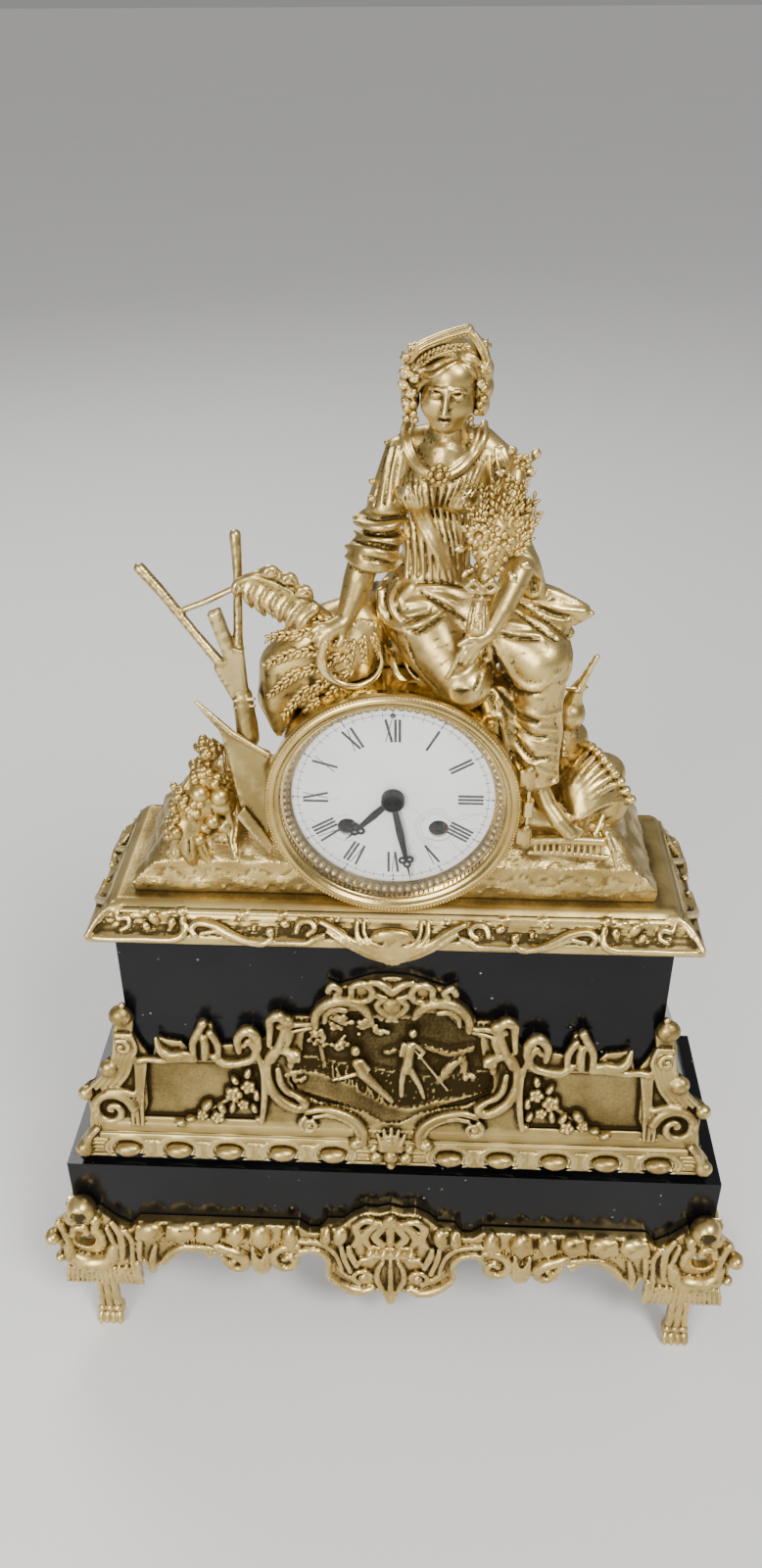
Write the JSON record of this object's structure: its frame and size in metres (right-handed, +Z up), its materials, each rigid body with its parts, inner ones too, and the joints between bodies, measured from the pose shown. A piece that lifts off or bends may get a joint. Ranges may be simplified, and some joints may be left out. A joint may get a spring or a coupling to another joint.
{
  "type": "mantel clock",
  "caption": "Mantel clock on black marble with gilt aprons, paw feet and a seated harvest figure above a white dial with Roman hours, hinged bezel, striking movement and pendulum.",
  "frame": {"origin": "on the table under the middle of the clock's outer box", "axes": "+X to the right of someone facing the dial, +Y to the back, +Z up"},
  "size_m": [0.343, 0.1122, 0.4849],
  "materials": {
    "gilt_bronze": "aged fire gilding, matt ground with burnished edges",
    "black_marble": "polished black marble with faint scratches",
    "clear_glass": "clear",
    "white_enamel": "glossy enamel with hairlines",
    "blued_steel": "blued",
    "steel": "plain",
    "movement_brass": "brushed"
  },
  "bodies": {
    "case": {"paw_feet": "gilt_bronze", "front_apron": "gilt_bronze", "side_aprons": "gilt_bronze", "lower_marble": "black_marble", "cove_marble": "black_marble", "upper_marble": "black_marble", "frieze_mount": "gilt_bronze", "terrace_casting": "gilt_bronze", "tie_rods": "steel", "mound_casting": "gilt_bronze", "drum_case": "gilt_bronze", "figure_body": "gilt_bronze", "figure_head": "gilt_bronze", "figure_right_arm": "gilt_bronze", "figure_left_arm": "gilt_bronze", "bouquet": "gilt_bronze", "plough_handles": "gilt_bronze", "plough_mouldboard": "gilt_bronze", "fruit_cluster": "gilt_bronze", "wheat_sheaf": "gilt_bronze", "acanthus_leaf": "gilt_bronze", "sickle": "gilt_bronze", "straw_sheaves": "gilt_bronze", "rake_head": "gilt_bronze", "water_gourd": "gilt_bronze", "hinge_pins": "movement_brass", "dial_enamel": "white_enamel", "dial_plate": "movement_brass", "front_plate": "movement_brass", "back_plate": "movement_brass", "suspension_cock": "movement_brass", "suspension_spring": "steel", "bell": "steel", "bell_stand": "movement_brass", "movement_straps": "steel"},
    "bezel_door": {"bezel": "gilt_bronze", "bezel_glass": "clear_glass", "sight_ring": "gilt_bronze"},
    "back_door": {"rear_door": "gilt_bronze"},
    "centre_arbor": {"centre_wheel": "movement_brass", "cannon_pinion": "steel", "minute_hand": "blued_steel"},
    "hour_pipe": {"hour_wheel": "movement_brass", "hour_hand": "blued_steel"},
    "minute_work": {"minute_wheel": "movement_brass"},
    "going_drum": {"going_barrel": "movement_brass", "going_mainspring": "steel"},
    "second_arbor": {"second_wheel": "movement_brass"},
    "third_arbor": {"third_wheel": "movement_brass"},
    "escape_arbor": {"escape_wheel": "movement_brass"},
    "pallet_arbor": {"pallets": "steel"},
    "pendulum_swing": {"pendulum": "movement_brass"},
    "going_square": {"going_winding_arbor": "steel"},
    "strike_square": {"strike_winding_arbor": "steel"},
    "strike_drum": {"strike_barrel": "movement_brass", "strike_mainspring": "steel"},
    "strike_second_arbor": {"strike_second_wheel": "movement_brass"},
    "pin_arbor": {"pin_wheel": "movement_brass"},
    "hammer_arbor": {"hammer": "steel"},
    "regulator": {"regulator_arbor": "steel"}
  },
  "joints": [
    {"name": "bezel_hinge", "type": "hinge", "parent": "case", "child": "bezel_door", "pos_m": [0.0548, -0.02423, 0.307], "axis": [0, 0, 1], "range_deg": [0, 100]},
    {"name": "rear_door_hinge", "type": "hinge", "parent": "case", "child": "back_door", "pos_m": [-0.0548, 0.04997, 0.307], "axis": [0, 0, 1], "range_deg": [0, 110]},
    {"name": "minute_hand_turn", "type": "hinge", "parent": "case", "child": "centre_arbor", "pos_m": [0, 0.00108, 0.307], "axis": [0, 1, 0], "continuous": true},
    {"name": "hour_hand_turn", "type": "hinge", "parent": "case", "child": "hour_pipe", "pos_m": [0, 0.00108, 0.307], "axis": [0, 1, 0], "continuous": true},
    {"name": "minute_wheel_turn", "type": "hinge", "parent": "case", "child": "minute_work", "pos_m": [-0.0059, 0.00108, 0.30287], "axis": [0, 1, 0], "continuous": true},
    {"name": "going_barrel_turn", "type": "hinge", "parent": "case", "child": "going_drum", "pos_m": [0.019, 0.00108, 0.2925], "axis": [0, 1, 0], "continuous": true},
    {"name": "second_wheel_turn", "type": "hinge", "parent": "case", "child": "second_arbor", "pos_m": [0.0122, 0.00108, 0.31014], "axis": [0, 1, 0], "continuous": true},
    {"name": "third_wheel_turn", "type": "hinge", "parent": "case", "child": "third_arbor", "pos_m": [-0.00753, 0.00108, 0.3167], "axis": [0, 1, 0], "continuous": true},
    {"name": "escape_wheel_turn", "type": "hinge", "parent": "case", "child": "escape_arbor", "pos_m": [0, 0.00108, 0.325], "axis": [0, 1, 0], "continuous": true},
    {"name": "pendulum_pivot", "type": "hinge", "parent": "case", "child": "pendulum_swing", "pos_m": [0, 0.0214, 0.338], "axis": [0, 1, 0], "range_deg": [-3.5, 3.5]},
    {"name": "pallets_rock", "type": "hinge", "parent": "case", "child": "pallet_arbor", "pos_m": [0, 0.00108, 0.338], "axis": [0, 1, 0], "range_deg": [-3.5, 3.5]},
    {"name": "going_winding_turn", "type": "hinge", "parent": "case", "child": "going_square", "pos_m": [0.019, 0.00108, 0.2925], "axis": [0, 1, 0], "range_deg": [0, 1620]},
    {"name": "strike_winding_turn", "type": "hinge", "parent": "case", "child": "strike_square", "pos_m": [-0.019, 0.00108, 0.2925], "axis": [0, 1, 0], "range_deg": [0, 1620]},
    {"name": "strike_barrel_turn", "type": "hinge", "parent": "case", "child": "strike_drum", "pos_m": [-0.019, 0.00108, 0.2925], "axis": [0, 1, 0], "continuous": true},
    {"name": "strike_second_turn", "type": "hinge", "parent": "case", "child": "strike_second_arbor", "pos_m": [-0.02065, 0.00108, 0.31133], "axis": [0, 1, 0], "continuous": true},
    {"name": "pin_wheel_turn", "type": "hinge", "parent": "case", "child": "pin_arbor", "pos_m": [-0.01852, 0.00108, 0.32338], "axis": [0, 1, 0], "continuous": true},
    {"name": "hammer_lift", "type": "hinge", "parent": "case", "child": "hammer_arbor", "pos_m": [-0.03275, 0.00108, 0.31892], "axis": [0, 1, 0], "range_deg": [-12, 0]},
    {"name": "regulator_turn", "type": "hinge", "parent": "case", "child": "regulator", "pos_m": [0, 0.00108, 0.3456], "axis": [0, 1, 0], "range_deg": [-1080, 1080]}
  ],
  "couplings": [
    {"joint": "minute_hand_turn", "follows": "going_barrel_turn", "ratio": 36},
    {"joint": "hour_hand_turn", "follows": "going_barrel_turn", "ratio": 3},
    {"joint": "minute_wheel_turn", "follows": "going_barrel_turn", "ratio": -12},
    {"joint": "second_wheel_turn", "follows": "going_barrel_turn", "ratio": -6},
    {"joint": "third_wheel_turn", "follows": "going_barrel_turn", "ratio": -432},
    {"joint": "escape_wheel_turn", "follows": "going_barrel_turn", "ratio": 5544},
    {"joint": "pallets_rock", "follows": "pendulum_pivot", "ratio": 1},
    {"joint": "strike_second_turn", "follows": "strike_barrel_turn", "ratio": -6},
    {"joint": "pin_wheel_turn", "follows": "strike_barrel_turn", "ratio": 45}
  ]
}
